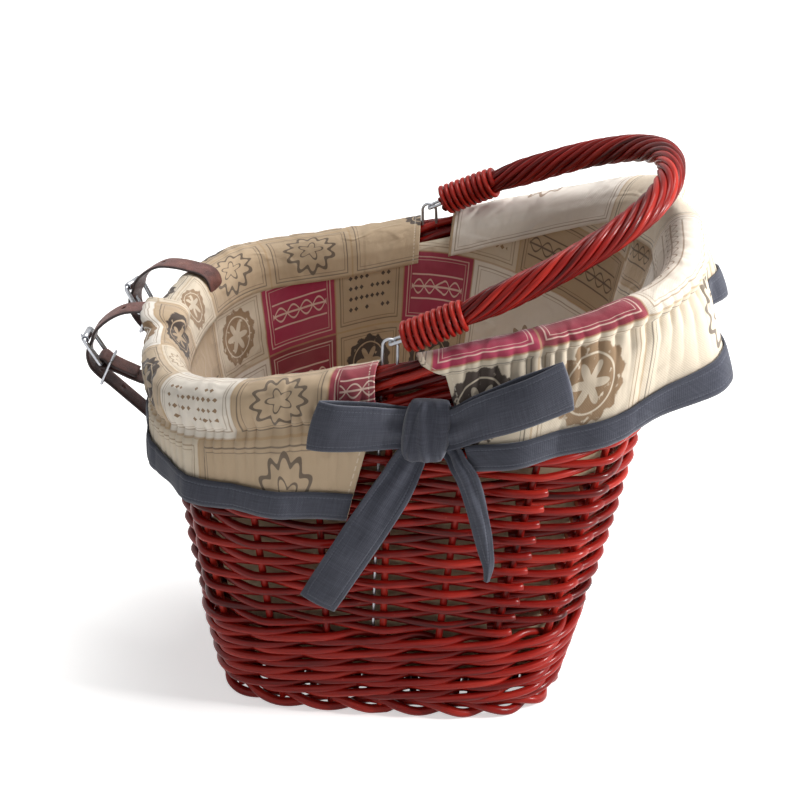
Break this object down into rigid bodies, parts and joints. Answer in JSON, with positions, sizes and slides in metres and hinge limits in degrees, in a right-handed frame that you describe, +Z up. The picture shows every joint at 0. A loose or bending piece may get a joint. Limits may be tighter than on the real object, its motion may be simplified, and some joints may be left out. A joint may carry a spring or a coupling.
{
  "type": "wicker bicycle basket",
  "caption": "Flared wicker handlebar basket with a sloping rim, swinging twisted bail, two buckled leather straps and a gathered cloth liner tied with bows.",
  "frame": {"origin": "on the ground, under the middle of the object's whole length and width", "axes": "+Z up from the foot, +X away from the handlebar straps towards the high front, -Y the near side of the picture"},
  "size_m": [0.4126, 0.2856, 0.3644],
  "materials": {
    "stained_willow": "satin, dark red stain under varnish",
    "galvanised_wire": "dull zinc",
    "strap_leather": "smooth face with dark edges",
    "nickel": "bright nickel plate",
    "liner_print": "matt printed cotton",
    "grey_cloth": "matt plain weave",
    "elastic": "knitted elastic"
  },
  "bodies": {
    "basket": {"stake_01": "stained_willow", "stake_02": "stained_willow", "stake_03": "stained_willow", "stake_04": "stained_willow", "stake_05": "stained_willow", "stake_06": "stained_willow", "stake_07": "stained_willow", "stake_08": "stained_willow", "stake_09": "stained_willow", "stake_10": "stained_willow", "stake_11": "stained_willow", "stake_12": "stained_willow", "stake_13": "stained_willow", "stake_14": "stained_willow", "stake_15": "stained_willow", "stake_16": "stained_willow", "stake_17": "stained_willow", "stake_18": "stained_willow", "stake_19": "stained_willow", "stake_20": "stained_willow", "foot_border": "stained_willow", "base_panel": "stained_willow", "base_stick_1": "stained_willow", "base_stick_2": "stained_willow", "base_stick_3": "stained_willow", "lower_wale": "stained_willow", "siding": "stained_willow", "upper_wale": "stained_willow", "top_border": "stained_willow", "hanger_wire_near": "galvanised_wire", "hanger_wire_far": "galvanised_wire", "strap_near": "strap_leather", "strap_far": "strap_leather", "buckle_frame_near": "nickel", "buckle_frame_far": "nickel", "liner_bag": "liner_print", "cuff_rear": "liner_print", "cuff_front": "liner_print", "band_rear": "grey_cloth", "band_front": "grey_cloth", "bow_loops_near": "grey_cloth", "bow_loops_far": "grey_cloth", "bow_tails_near": "grey_cloth", "bow_tails_far": "grey_cloth", "bow_knot_near": "grey_cloth", "bow_knot_far": "grey_cloth", "elastic_rear": "elastic", "elastic_front": "elastic"},
    "bail": {"bail_hoop": "stained_willow", "bail_eye_near": "galvanised_wire", "bail_eye_far": "galvanised_wire", "bail_wrap_near": "stained_willow", "bail_wrap_far": "stained_willow"},
    "roller_near": {"buckle_roller_near": "nickel"},
    "prong_near": {"buckle_prong_near": "nickel"},
    "keeper_near": {"strap_keeper_near": "nickel"},
    "roller_far": {"buckle_roller_far": "nickel"},
    "prong_far": {"buckle_prong_far": "nickel"},
    "keeper_far": {"strap_keeper_far": "nickel"}
  },
  "joints": [
    {"name": "bail_swing", "type": "hinge", "parent": "basket", "child": "bail", "pos_m": [0.01389, 0, 0.2818], "axis": [0, -1, 0], "range_deg": [0, 145]},
    {"name": "roller_turn_near", "type": "hinge", "parent": "basket", "child": "roller_near", "pos_m": [-0.2008, 0.01243, 0.222], "axis": [0, 1, 0], "continuous": true},
    {"name": "prong_lift_near", "type": "hinge", "parent": "basket", "child": "prong_near", "pos_m": [-0.1907, 0.01243, 0.205], "axis": [0, -1, 0], "range_deg": [0, 6]},
    {"name": "keeper_slide_near", "type": "slide", "parent": "basket", "child": "keeper_near", "axis": [0.9135, 0, -0.4067], "range_m": [0, 0.002]},
    {"name": "roller_turn_far", "type": "hinge", "parent": "basket", "child": "roller_far", "pos_m": [-0.18761, 0.0948, 0.22373], "axis": [0.342, 0.9397, 0], "continuous": true},
    {"name": "prong_lift_far", "type": "hinge", "parent": "basket", "child": "prong_far", "pos_m": [-0.17811, 0.09135, 0.20674], "axis": [-0.342, -0.9397, 0], "range_deg": [0, 6]},
    {"name": "keeper_slide_far", "type": "slide", "parent": "basket", "child": "keeper_far", "axis": [0.8585, -0.3125, -0.4067], "range_m": [0, 0.002]}
  ]
}
